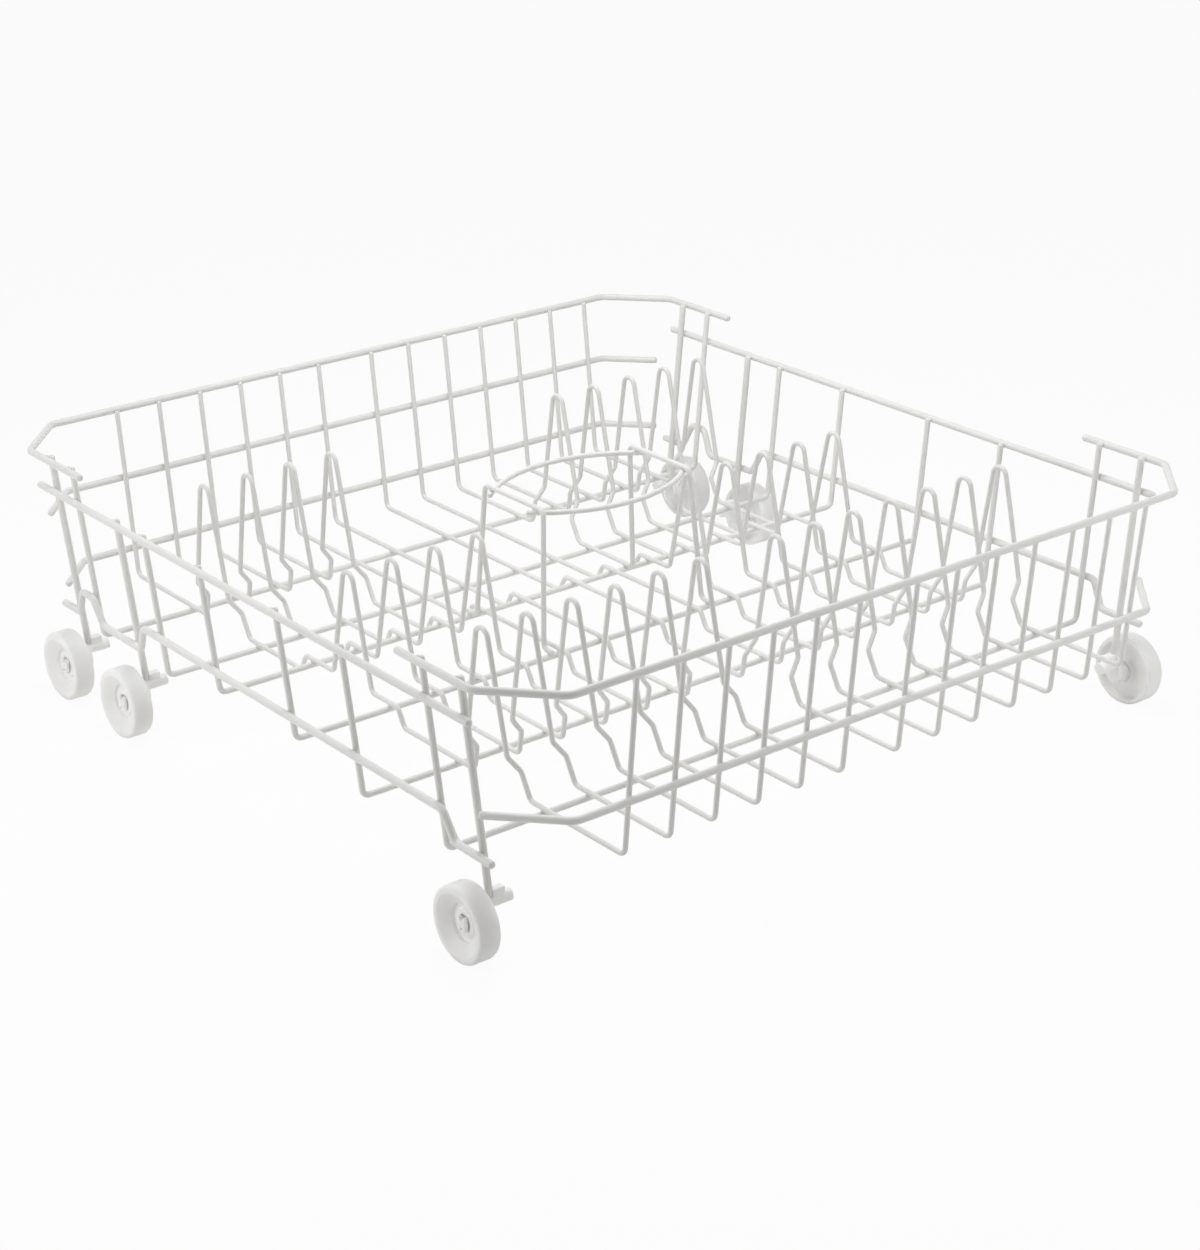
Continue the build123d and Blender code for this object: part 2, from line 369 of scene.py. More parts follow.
class NodeTree:
    """A geometry node tree with named inputs, built once and used by many pieces."""

    def __init__(self, name: str, inputs: dict[str, str]) -> None:
        """Starts the tree with a geometry input and the named ones.

        Args:
            name: the tree's name.
            inputs: socket type for each input's name.
        """
        self.tree = bpy.data.node_groups.new(name, "GeometryNodeTree")
        self.sockets: dict[str, str] = {}
        face = self.tree.interface
        face.new_socket(name="Geometry", in_out="INPUT", socket_type="NodeSocketGeometry")
        for label, kind in inputs.items():
            socket = face.new_socket(name=label, in_out="INPUT", socket_type=kind)
            self.sockets[label] = socket.identifier
        face.new_socket(name="Geometry", in_out="OUTPUT", socket_type="NodeSocketGeometry")
        self.start = self.tree.nodes.new("NodeGroupInput")
        self.end = self.tree.nodes.new("NodeGroupOutput")

    def add(self, kind: str, links: dict[str, Socket], **values: object) -> bpy.types.Node:
        """Adds a node.

        Args:
            kind: the node's type name.
            links: the socket that feeds each named input.
            values: input values by the socket's name, with underscores for its spaces.

        Returns:
            The new node.
        """
        node = self.tree.nodes.new(kind)
        set_inputs(node, values)
        for label, source in links.items():
            self.tree.links.new(source, node.inputs[label])
        return node

    def attribute(self, name: str, kind: str) -> Socket:
        """Reads a named attribute.

        Args:
            name: the attribute.
            kind: its data type.

        Returns:
            The attribute's socket.
        """
        node = self.add("GeometryNodeInputNamedAttribute", {}, Name=name)
        node.data_type = kind
        return node.outputs["Attribute"]

    def finish(self, geometry: Socket) -> None:
        """Ends the tree in Realize Instances, smooth shading and Set Material.

        Args:
            geometry: what the tree has made.
        """
        real = self.add("GeometryNodeRealizeInstances", {"Geometry": geometry})
        smooth = self.add("GeometryNodeSetShadeSmooth", {"Geometry": real.outputs[0]})
        coated = self.add(
            "GeometryNodeSetMaterial",
            {"Geometry": smooth.outputs[0], "Material": self.start.outputs["Material"]},
        )
        self.tree.links.new(coated.outputs[0], self.end.inputs[0])

    def run(self, name: str, mesh: bpy.types.Mesh, values: dict[str, object]) -> bpy.types.Object:
        """Runs the tree on a mesh and keeps the result as a plain mesh.

        Args:
            name: the new piece's name.
            mesh: what the tree starts from.
            values: a value for each named input.

        Returns:
            The new piece, in the scene.
        """
        piece = linked(name, mesh)
        modifier = piece.modifiers.new("shape", "NODES")
        modifier.node_group = self.tree
        for label, value in values.items():
            modifier[self.sockets[label]] = value
        made = evaluated_mesh(piece)
        piece.modifiers.clear()
        piece.data = made
        made.name = name
        bpy.data.meshes.remove(mesh)
        return piece


class WireBender(NodeTree):
    """Bends a run of corners into a round wire with dipped ends."""

    sides: int = 16
    turn_step: float = math.radians(9.0)
    end_rounding: float = 0.7
    end_steps: int = 5

    def __init__(self) -> None:
        """Builds the tree: corners to curve, bends, then a swept circle."""
        super().__init__("bent_wire", {"Diameter": "NodeSocketFloat", "Material": "NodeSocketMaterial"})
        line = self.add("GeometryNodeMeshToCurve", {"Mesh": self.start.outputs["Geometry"]})
        bent = self.tree.nodes.new("GeometryNodeFilletCurve")
        bent.mode = "POLY"
        self.tree.links.new(line.outputs[0], bent.inputs["Curve"])
        self.tree.links.new(self.attribute("steps", "INT"), bent.inputs["Count"])
        self.tree.links.new(self.attribute("bend", "FLOAT"), bent.inputs["Radius"])
        radius = self.add("ShaderNodeMath", {"Value": self.start.outputs["Diameter"]})
        radius.operation = "MULTIPLY"
        radius.inputs[1].default_value = 0.5
        ring = self.add("GeometryNodeCurvePrimitiveCircle", {"Radius": radius.outputs[0]}, Resolution=self.sides)
        swept = self.add(
            "GeometryNodeCurveToMesh",
            {"Curve": bent.outputs[0], "Profile Curve": ring.outputs[0],
             "Scale": self.attribute("taper", "FLOAT")},
            Fill_Caps=True,
        )
        self.finish(swept.outputs[0])

    def stations(self, wire: "Wire") -> list[tuple[Vector, float, int, float]]:
        """Lists the wire's corners with what the tree reads there.

        Args:
            wire: the wire.

        Returns:
            Place, bend radius, steps in the bend and share of the diameter for each station.
        """
        rounding = self.end_rounding * wire.diameter / 2
        ends = []
        for step in range(self.end_steps):
            turn = step / (self.end_steps - 1) * math.pi / 2
            ends.append((rounding * (1 - math.cos(turn)), 1 - self.end_rounding * (1 - math.sin(turn))))
        first, last = wire.corners[0], wire.corners[-1]
        into, out = (wire.corners[1] - first).normalized(), (wire.corners[-2] - last).normalized()
        found = [(first + into * along, 0.0, 1, share) for along, share in ends]
        for before, corner, after, bend in zip(wire.corners, wire.corners[1:], wire.corners[2:], wire.bends):
            turn = (corner - before).angle(after - corner)
            found.append((corner, bend, max(2, math.ceil(turn / self.turn_step)), 1.0))
        return found + [(last + out * along, 0.0, 1, share) for along, share in reversed(ends)]

    def make(self, wire: "Wire", material: bpy.types.Material) -> bpy.types.Object:
        """Makes a wire's piece.

        Args:
            wire: the wire.
            material: its coating.

        Returns:
            The piece.
        """
        stations = self.stations(wire)
        mesh = bpy.data.meshes.new(f"{wire.node}_path")
        mesh.from_pydata([place for place, *_ in stations], [(i, i + 1) for i in range(len(stations) - 1)], [])
        columns = (("bend", "FLOAT", 1), ("steps", "INT", 2), ("taper", "FLOAT", 3))
        for label, kind, column in columns:
            layer = mesh.attributes.new(label, kind, "POINT")
            layer.data.foreach_set("value", [station[column] for station in stations])
        return self.run(f"coated_{wire.node}", mesh, {"Diameter": wire.diameter, "Material": material})


class WeldTree(NodeTree):
    """Sets a small web of coating at every weld."""

    segments: int = 14
    rings: int = 8

    def __init__(self) -> None:
        """Builds the tree: one squashed ball on each weld, turned to its two wires."""
        super().__init__("weld_webs", {"Material": "NodeSocketMaterial"})
        ball = self.add("GeometryNodeMeshUVSphere", {}, Segments=self.segments, Rings=self.rings, Radius=1.0)
        turned = self.add(
            "FunctionNodeAxesToRotation",
            {"Primary Axis": self.attribute("across", "FLOAT_VECTOR"),
             "Secondary Axis": self.attribute("along", "FLOAT_VECTOR")},
        )
        turned.primary_axis, turned.secondary_axis = "Z", "X"
        webs = self.add(
            "GeometryNodeInstanceOnPoints",
            {"Points": self.start.outputs["Geometry"], "Instance": ball.outputs["Mesh"],
             "Rotation": turned.outputs[0], "Scale": self.attribute("spread", "FLOAT_VECTOR")},
        )
        self.finish(webs.outputs[0])


# Wires


@dataclass
class Wire:
    """One bent wire: the node it stands for, its corners, the bend at each inner corner and its diameter."""

    node: str
    corners: list[Vector]
    bends: list[float]
    diameter: float

    @classmethod
    def bent(cls, node: str, corners: list[Triple], bend: float, diameter: float) -> "Wire":
        """Makes a wire with one bend radius at every inner corner.

        Args:
            node: the CAD node it stands for.
            corners: its corners from end to end.
            bend: the bend radius to the wire's centre.
            diameter: over the coating.

        Returns:
            The wire.
        """
        return cls(node, [Vector(c) for c in corners], [bend] * (len(corners) - 2), diameter)

    def spans(self) -> list[tuple[Vector, Vector]]:
        """Lists the straight spans between corners."""
        return list(zip(self.corners, self.corners[1:]))


@dataclass(frozen=True)
class Walls:
    """The leaning walls, read from the rims, and where rails and inner wires lie on them."""

    rail_d: float
    rim_z: float
    half_width: float
    half_depth: float
    lean: float = math.radians(6.0)
    weld_bite: float = 0.03 * MM
    tip_rise: float = 1.3 * MM

    @classmethod
    def from_frame(cls) -> "Walls":
        """Measures the rims of the frame.

        Returns:
            The walls.
        """
        front_low, front_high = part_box("front_rim")
        _, back_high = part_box("back_rim")
        rail_d = front_high.z - front_low.z
        return cls(
            rail_d=rail_d,
            rim_z=(front_low.z + front_high.z) / 2,
            half_width=(front_high.x - front_low.x - rail_d) / 2,
            half_depth=(back_high.y - front_low.y - rail_d) / 2,
        )

    def inset(self, inner_d: float) -> float:
        """Level distance between a rail's centre and that of a wire of a diameter welded inside it."""
        return ((self.rail_d + inner_d) / 2 - self.weld_bite) / math.cos(self.lean) if inner_d else 0.0

    def side_x(self, z: float, inner_d: float = 0.0) -> float:
        """Distance from the middle to a side rail, or to a wire inside it, at a height."""
        return self.half_width - (self.rim_z - z) * math.tan(self.lean) - self.inset(inner_d)

    def end_y(self, z: float, inner_d: float = 0.0) -> float:
        """Distance from the middle to an end rail, or to a wire inside it, at a height."""
        return self.half_depth - (self.rim_z - z) * math.tan(self.lean) - self.inset(inner_d)


@dataclass(frozen=True)
class EndRails:
    """Rims and lower rails of the end walls, bent round the cut corners."""

    walls: Walls
    cut_x: float = 33 * MM
    cut_y: float = 36 * MM
    arm: float = 64 * MM
    back_trim: float = 6 * MM
    bend: float = 9 * MM

    def rail(self, node: str, end: End, arm: float = 0.0, trim: float = 0.0) -> Wire:
        """Lays out one rail.

        Args:
            node: the CAD node, which gives its height.
            end: the wall it is on.
            arm: how far it goes on along the side walls.
            trim: how far it stops short of them.

        Returns:
            The wire.
        """
        z = middle(node).z
        x, y = self.walls.side_x(z), self.walls.end_y(z)
        kept = 1 - trim / self.cut_x
        half = [(x - trim, y - self.cut_y * kept), (x - self.cut_x, y)]
        if arm:
            half.insert(0, (x, y - self.cut_y - arm))
        corners = [(-a, end.value * b, z) for a, b in half]
        corners += [(a, end.value * b, z) for a, b in reversed(half)]
        return Wire.bent(node, corners, self.bend, self.walls.rail_d)

    def wires(self) -> list[Wire]:
        """Lists the two rims and the three lower rails."""
        return [
            self.rail("front_rim", End.FRONT, self.arm),
            self.rail("back_rim", End.BACK, self.arm),
            self.rail("front_low_rail", End.FRONT),
            self.rail("back_middle_rail", End.BACK, trim=self.back_trim),
            self.rail("back_low_rail", End.BACK, trim=self.back_trim),
        ]


@dataclass(frozen=True)
class SideRails:
    """Rails along the side walls: straight above, dipping at the wheel posts below."""

    walls: Walls
    dip_end: float = 14 * MM
    dip_front: float = 18.3 * MM
    dip_middle_front: float = 10 * MM
    dip_middle_back: float = 35.4 * MM
    dip_back: float = 7.4 * MM
    jog_run: float = 8 * MM
    jog_bend: float = 5.5 * MM

    def upper(self, side: Side) -> Wire:
        """Lays out a straight rail.

        Args:
            side: the wall it is on.

        Returns:
            The wire.
        """
        node = f"{side.label}_upper_rail"
        low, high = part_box(node)
        z = (low.z + high.z) / 2
        x = side.value * self.walls.side_x(z)
        return Wire.bent(node, [(x, low.y, z), (x, high.y, z)], 0.0, self.walls.rail_d)

    def lower(self, side: Side) -> Wire:
        """Lays out a dipping rail.

        Args:
            side: the wall it is on.

        Returns:
            The wire.
        """
        node = f"{side.label}_lower_rail"
        box_low, box_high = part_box(node)
        low, high = box_low.z + self.walls.rail_d / 2, box_high.z - self.walls.rail_d / 2
        front, centre, back = (middle(f"post_{side.label}_{place}").y for place in PLACES)
        stations = [
            (front - self.dip_end, low),
            (front + self.dip_front, low),
            (front + self.dip_front + self.jog_run, high),
            (centre - self.dip_middle_front - self.jog_run, high),
            (centre - self.dip_middle_front, low),
            (centre + self.dip_middle_back, low),
            (centre + self.dip_middle_back + self.jog_run, high),
            (back - self.dip_back - self.jog_run, high),
            (back - self.dip_back, low),
            (back + self.dip_end, low),
        ]
        corners = [(side.value * self.walls.side_x(z), y, z) for y, z in stations]
        return Wire.bent(node, corners, self.jog_bend, self.walls.rail_d)

    def wires(self) -> list[Wire]:
        """Lists the four side rails."""
        return [make(side) for side in Side for make in (self.upper, self.lower)]


@dataclass(frozen=True)
class CrossWires:
    """Wires up one side wall, across the floor and up the other."""

    walls: Walls
    count: int = 6
    raised: tuple[int, int] = (3, 4)
    diameter: float = 3.6 * MM
    bend: float = 4.5 * MM

    def raised_y(self) -> list[float]:
        """Lists the places of the two raised cross wires."""
        return [middle(f"cross_wire_{number}").y for number in self.raised]

    def carried_z(self, number: int, diameter: float) -> float:
        """Height of the centre of a wire of a diameter that lies on a cross wire."""
        low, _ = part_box(f"cross_wire_{number}")
        return low.z + self.diameter + diameter / 2 - self.walls.weld_bite

    def wire(self, number: int) -> Wire:
        """Lays out a cross wire.

        Args:
            number: its number from the front.

        Returns:
            The wire.
        """
        node = f"cross_wire_{number}"
        low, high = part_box(node)
        bottom = low.z + self.diameter / 2
        rail_z = middle("left_upper_rail").z
        reaches_rim = high.z > (rail_z + self.walls.rim_z) / 2
        top = (self.walls.rim_z if reaches_rim else rail_z) + self.walls.tip_rise
        half = [(self.walls.side_x(z, self.diameter), z) for z in (top, bottom)]
        y = (low.y + high.y) / 2
        corners = [(-x, y, z) for x, z in half] + [(x, y, z) for x, z in reversed(half)]
        return Wire.bent(node, corners, self.bend, self.diameter)

    def wires(self) -> list[Wire]:
        """Lists the cross wires from front to back."""
        return [self.wire(number) for number in range(1, self.count + 1)]


@dataclass(frozen=True)
class TineRow:
    """One row of tines: its place, height, leans, its feet's level and how far its tips stand to their side."""

    y: float
    top: float
    front_lean: float
    back_lean: float
    base: float
    shift: float


@dataclass(frozen=True)
class TineWires:
    """Wires along the floor that are bent up into tines."""

    walls: Walls
    crosses: CrossWires
    count: int = 13
    left_bank: int = 6
    left_tined: int = 4
    right_tined: int = 5
    diameter: float = 3 * MM
    tip_rise: float = 0.3 * MM
    front_inset: float = 125.2 * MM
    back_inset: float = 119.8 * MM
    tall_top: float = 140.7 * MM
    short_top: float = 127.2 * MM
    tip: float = 5.4 * MM
    front_lean: float = math.radians(12.9)
    back_lean: float = math.radians(9.8)
    short_lean: float = math.radians(12.8)
    shift: float = 7.2 * MM
    kink_top: float = 24 * MM
    kink_bottom: float = 14.5 * MM
    front_foot: float = 8 * MM
    back_foot: float = 2.5 * MM
    wall_bend: float = 5 * MM
    foot_bend: float = 4.5 * MM
    kink_bend: float = 4 * MM
    step_past: float = 7.5 * MM
    step_run: float = 6 * MM

    def tine(self, x: float, row: TineRow) -> tuple[list[Triple], list[float]]:
        """Lays out one tine from its front foot to its back foot.

        Args:
            x: the wire's place.
            row: the row the tine is in.

        Returns:
            Its corners and their bends.
        """
        front, back = math.tan(row.front_lean), math.tan(row.back_lean)
        apex = row.top + self.tip * (1 / math.sin((row.front_lean + row.back_lean) / 2) - 1)
        if not row.shift:
            rise = apex - row.base
            corners = [(x, row.y - rise * front, row.base), (x, row.y, apex), (x, row.y + rise * back, row.base)]
            return corners, [self.foot_bend, self.tip, self.foot_bend]
        upper, lower = row.base + self.kink_top, row.base + self.kink_bottom
        front_y, back_y = row.y - (apex - upper) * front, row.y + (apex - upper) * back
        front_low, back_low = front_y - (upper - lower) * front, back_y + (upper - lower) * back
        corners = [
            (x, front_low - self.front_foot, row.base),
            (x, front_low, lower),
            (x + row.shift, front_y, upper),
            (x + row.shift, row.y, apex),
            (x + row.shift, back_y, upper),
            (x, back_low, lower),
            (x, back_low + self.back_foot, row.base),
        ]
        kinks = [self.kink_bend] * 2
        return corners, [self.foot_bend, *kinks, self.tip, *kinks, self.foot_bend]

    def wire(self, number: int) -> Wire:
        """Lays out a tine wire.

        Args:
            number: its number from the left.

        Returns:
            The wire.
        """
        node = f"tine_wire_{number:02d}"
        low_box, high_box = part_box(node)
        left = number <= self.left_bank
        x = high_box.x - self.diameter / 2 if left else low_box.x + self.diameter / 2
        tined = number <= self.left_tined or number > self.count - self.right_tined
        low, high = (self.crosses.carried_z(n, self.diameter) for n in (1, self.crosses.raised[0]))
        shift = -self.shift if left else self.shift
        front, back = (
            TineRow(y, self.tall_top, self.front_lean, self.back_lean, low, shift)
            for y in (self.front_inset - self.walls.half_depth, self.walls.half_depth - self.back_inset)
        )
        short = TineRow(0.0, self.short_top, self.short_lean, self.short_lean, high, 0.0)
        raised_front, raised_back = self.crosses.raised_y()
        step_front, step_back = raised_front - self.step_past, raised_back + self.step_past
        foot, wall_y = [self.foot_bend] * 2, self.walls.end_y(low, self.diameter)

        stretches = [
            ([(x, -wall_y, low)], [self.wall_bend]),
            self.tine(x, front),
            ([(x, step_front - self.step_run, low), (x, step_front, high)], foot),
            self.tine(x, short) if tined else ([], []),
            ([(x, step_back, high), (x, step_back + self.step_run, low)], foot),
            self.tine(x, back) if tined else ([], []),
            ([(x, wall_y, low)], [self.wall_bend]),
        ]
        top = self.walls.rim_z + self.tip_rise
        reach = self.walls.end_y(top, self.diameter)
        corners = [(x, -reach, top), *(c for stretch, _ in stretches for c in stretch), (x, reach, top)]
        bends = [bend for _, stretch in stretches for bend in stretch]
        return Wire(node, [Vector(c) for c in corners], bends, self.diameter)

    def wires(self) -> list[Wire]:
        """Lists the tine wires from left to right."""
        return [self.wire(number) for number in range(1, self.count + 1)]


@dataclass(frozen=True)
class CentreGuide:
    """Two bent frames on the raised cross wires and two bowed hoops under their bars."""

    walls: Walls
    crosses: CrossWires
    diameter: float = 3.2 * MM
    half_width: float = 55 * MM
    half_depth: float = 28.5 * MM
    y: float = 1.5 * MM
    splay_x: float = 5.5 * MM
    splay_y: float = 5 * MM
    foot_past: float = 3 * MM
    bend: float = 4 * MM
    hoop_inset: float = 6.4 * MM
    hoop_rise: float = 20.6 * MM
    hoop_tail: float = 6 * MM

    def bar_z(self) -> float:
        """Height of the bars' centres."""
        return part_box("guide_frame_left")[1].z - self.diameter / 2

    def frame_wire(self, side: Side) -> Wire:
        """Lays out a frame.

        Args:
            side: the guide's side it is on.

        Returns:
            The wire.
        """
        foot_z = self.crosses.carried_z(self.crosses.raised[0], self.diameter)
        top_x, foot_x = side.value * self.half_width, side.value * (self.half_width + self.splay_x)
        front, back = self.y - self.half_depth, self.y + self.half_depth
        raised_front, raised_back = self.crosses.raised_y()
        corners = [
            (foot_x, raised_front - self.foot_past, foot_z),
            (foot_x, front - self.splay_y, foot_z),
            (top_x, front, self.bar_z()),
            (top_x, back, self.bar_z()),
            (foot_x, back + self.splay_y, foot_z),
            (foot_x, raised_back + self.foot_past, foot_z),
        ]
        return Wire.bent(f"guide_frame_{side.label}", corners, self.bend, self.diameter)

    def hoop(self, end: End) -> Wire:
        """Lays out a hoop.

        Args:
            end: the guide's end it bows towards.

        Returns:
            The wire.
        """
        radius = (self.half_width**2 + self.hoop_rise**2) / (2 * self.hoop_rise)
        half_angle = math.asin(self.half_width / radius)
        under_bar = self.half_depth - self.hoop_inset
        tail_x = self.half_width + self.hoop_tail * math.cos(half_angle)
        tail_y = self.y + end.value * (under_bar - self.hoop_tail * math.sin(half_angle))
        peak_y = self.y + end.value * (under_bar + self.half_width * math.tan(half_angle))
        z = self.bar_z() - self.diameter + self.walls.weld_bite
        corners = [(-tail_x, tail_y, z), (0.0, peak_y, z), (tail_x, tail_y, z)]
        return Wire.bent(f"guide_hoop_{end.label}", corners, radius, self.diameter)

    def wires(self) -> list[Wire]:
        """Lists the frames and the hoops."""
        return [self.frame_wire(side) for side in Side] + [self.hoop(end) for end in End]


@dataclass(frozen=True)
class WheelPosts:
    """Straight wires down the side walls into the axle clips."""

    walls: Walls
    diameter: float = 4.2 * MM

    def centre_x(self, z: float) -> float:
        """Distance of a post's centre from the middle at a height."""
        return self.walls.side_x(z, self.diameter)

    def wire(self, side: Side, place: str) -> Wire:
        """Lays out one post.

        Args:
            side: the wall it is on.
            place: front, middle or back.

        Returns:
            The wire.
        """
        node = f"post_{side.label}_{place}"
        low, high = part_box(node)
        y = (low.y + high.y) / 2
        ends = [(side.value * self.centre_x(z), y, z) for z in (high.z, low.z)]
        return Wire.bent(node, ends, 0.0, self.diameter)

    def wires(self) -> list[Wire]:
        """Lists the posts."""
        return [self.wire(side, place) for side, place in product(Side, PLACES)]


@dataclass(frozen=True)
class WeldWebs:
    """Small webs of coating in the corners of every weld."""

    wires: list[Wire]
    reach: float = 0.35 * MM
    spread: float = 1.1
    thickness: float = 0.45
    largest: float = 1.7 * MM
    least_gap: float = 0.001 * MM

    def crossings(self) -> list[tuple[Vector, Vector, Vector, float]]:
        """Finds where two wires touch.

        Returns:
            Place, direction across, direction along and the smaller radius for each weld.
        """
        found = []
        for first, second in combinations(self.wires, 2):
            touch = (first.diameter + second.diameter) / 2 + self.reach
            radius = min(first.diameter / 2, second.diameter / 2, self.largest)
            for (a, b), (c, d) in product(first.spans(), second.spans()):
                weld = self.weld(a, b, c, d, touch)
                if weld is None:
                    continue
                near, far = weld
                across = (far - near).normalized()
                place = near + across * first.diameter / 2
                found.append((place, across, (b - a).normalized(), radius))
        return found

    def weld(self, a: Vector, b: Vector, c: Vector, d: Vector, touch: float) -> tuple[Vector, Vector] | None:
        """Gives the nearest points of two spans if they touch between their ends.

        Args:
            a: start of the first span.
            b: end of the first span.
            c: start of the second span.
            d: end of the second span.
            touch: the largest distance that counts.

        Returns:
            The two points, or None.
        """
        pair = intersect_line_line(a, b, c, d)
        if pair is None:
            return None
        near, far = pair
        for point, start, end in ((near, a, b), (far, c, d)):
            share = (point - start).dot(end - start) / (end - start).length_squared
            if not 0.0 <= share <= 1.0:
                return None
        gap = (near - far).length
        return (near, far) if self.least_gap < gap <= touch else None

    def make(self, tree: WeldTree, material: bpy.types.Material) -> bpy.types.Object:
        """Makes all webs as one piece.

        Args:
            tree: the tree that sets them.
            material: the wires' coating.

        Returns:
            The piece.
        """
        welds = self.crossings()
        mesh = bpy.data.meshes.new("weld_points")
        mesh.from_pydata([place for place, *_ in welds], [], [])
        sizes = [Vector((self.spread, self.spread, self.thickness)) * radius for *_, radius in welds]
        columns = {"across": [w[1] for w in welds], "along": [w[2] for w in welds], "spread": sizes}
        for label, vectors in columns.items():
            layer = mesh.attributes.new(label, "FLOAT_VECTOR", "POINT")
            layer.data.foreach_set("vector", [value for vector in vectors for value in vector])
        LOG.info("%d welds", len(welds))
        return tree.run("weld_webs", mesh, {"Material": material})


# Wheels and clips


def rounded_outline(corners: list[Triple], step: float = math.radians(15)) -> list[Vector]:
    """Rounds the corners of a closed outline.

    Args:
        corners: two coordinates and the rounding radius of each corner.
        step: largest turn between two points of an arc.

    Returns:
        The rounded outline's points.
    """
    points = []
    for index, (a, b, radius) in enumerate(corners):
        corner = Vector((a, b))
        into = (corner - Vector(corners[index - 1][:2])).normalized()
        out = (Vector(corners[(index + 1) % len(corners)][:2]) - corner).normalized()
        turn = into.angle(out)
        inward = (out - into).normalized()
        along = (into + out).normalized()
        centre = corner + inward * (radius / math.cos(turn / 2))
        for swing in sweep(-turn / 2, turn, max(2, math.ceil(turn / step))):
            points.append(centre + (along * math.sin(swing) - inward * math.cos(swing)) * radius)
    return points


def turned_mesh(name: str, outline: list[Vector], segments: int) -> bpy.types.Mesh:
    """Turns a closed outline round X.

    Args:
        name: the mesh's name.
        outline: radius and X of each point.
        segments: steps round the axis.

    Returns:
        A closed mesh.
    """
    mesh = bpy.data.meshes.new(name)
    shape = bmesh.new()
    rings = []
    for step in range(segments):
        turn = step * math.tau / segments
        across, up = math.sin(turn), math.cos(turn)
        rings.append([shape.verts.new((x, radius * across, radius * up)) for radius, x in outline])
    for ring, following in zip(rings, rings[1:] + rings[:1]):
        for i in range(len(outline)):
            j = (i + 1) % len(outline)
            shape.faces.new((ring[i], ring[j], following[j], following[i]))
    bmesh.ops.recalc_face_normals(shape, faces=shape.faces)
    shape.to_mesh(mesh)
    shape.free()
    return mesh


@dataclass(frozen=True)
class Axle:
    """One wheel's axle: its side, its label, how far out the wheel's face is, its place and its height."""

    side: Side
    label: str
    face_x: float
    y: float
    z: float

    @classmethod
    def all(cls) -> list["Axle"]:
        """Reads the axles from the wheels' nodes.

        Returns:
            The six axles, the left ones first.
        """
        found = []
        for side, place in product(Side, PLACES):
            label = f"{side.label}_{place}"
            low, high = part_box(f"wheel_{label}")
            found.append(cls(side, label, max(-low.x, high.x), (low.y + high.y) / 2, (low.z + high.z) / 2))
        return found

    def carry(self, name: str, mesh: bpy.types.Mesh, material: bpy.types.Material) -> bpy.types.Object:
        """Puts a mesh that is made from the wheel's outer face inwards along +X on the axle.

        Args:
            name: the new piece's name.
            mesh: the mesh, which is moved and dressed.
            material: its plastic.

        Returns:
            The piece.
        """
        if self.side is Side.RIGHT:
            mesh.transform(Matrix.Scale(-1, 4, Vector((1, 0, 0))))
            mesh.flip_normals()
        mesh.transform(Matrix.Translation((self.side.value * self.face_x, self.y, self.z)))
        mesh.name = name
        mesh.materials.clear()
        mesh.materials.append(material)
        return linked(name, mesh)


@dataclass(frozen=True)
class RackWheel:
    """Moulded wheel: dished outside down to a well round the hub, hollow inside."""

    width: float = 13 * MM
    tread_wall: float = 3 * MM
    dish_edge: float = 17.6 * MM
    dish_depth: float = 4.6 * MM
    well_r: float = 11 * MM
    well_depth: float = 6.6 * MM
    web: float = 2.2 * MM
    hub_r: float = 7.6 * MM
    hub_setback: float = 5.2 * MM
    bore: float = 4.58 * MM
    lip: float = 1.4 * MM
    lip_step: float = 0.6 * MM
    bore_edges: Pair = (0.3 * MM, 0.35 * MM)
    edge: float = 0.5 * MM
    fine_edge: float = 0.4 * MM
    dish_round: float = 1.5 * MM
    tread_round: float = 1.9 * MM
    lip_edge: float = 0.25 * MM
    lip_root: float = 0.15 * MM
    cup_root: float = 1.8 * MM
    hub_root: float = 1.0 * MM
    segments: int = 96

    def outline(self, radius: float) -> list[Vector]:
        """Draws half the wheel's section.

        Args:
            radius: the tread's radius.

        Returns:
            Radius and distance from the outer face of each point.
        """
        cup, floor = radius - self.tread_wall, self.well_depth + self.web
        lip_r, lip_x = radius - self.lip_step, self.width - self.lip
        bore_front, bore_back = self.bore_edges
        return rounded_outline([
            (self.bore, self.hub_setback, bore_front),
            (self.hub_r, self.hub_setback, self.edge),
            (self.hub_r, self.well_depth, self.fine_edge),
            (self.well_r, self.well_depth, self.edge),
            (self.well_r, self.dish_depth, self.edge),
            (self.dish_edge, 0.0, self.dish_round),
            (radius, 0.0, self.tread_round),
            (radius, lip_x, self.lip_edge),
            (lip_r, lip_x, self.lip_root),
            (lip_r, self.width, self.edge),
            (cup, self.width, self.fine_edge),
            (cup, floor, self.cup_root),
            (self.hub_r, floor, self.hub_root),
            (self.hub_r, self.width, self.edge),
            (self.bore, self.width, bore_back),
        ])

    def make(self, axle: Axle, material: bpy.types.Material) -> bpy.types.Object:
        """Makes one wheel.

        Args:
            axle: the axle it turns on, whose height is its radius.
            material: the wheel's plastic.

        Returns:
            The piece.
        """
        name = f"moulded_wheel_{axle.label}"
        mesh = turned_mesh(name, self.outline(axle.z), self.segments)
        mesh.shade_smooth()
        return axle.carry(name, mesh, material)


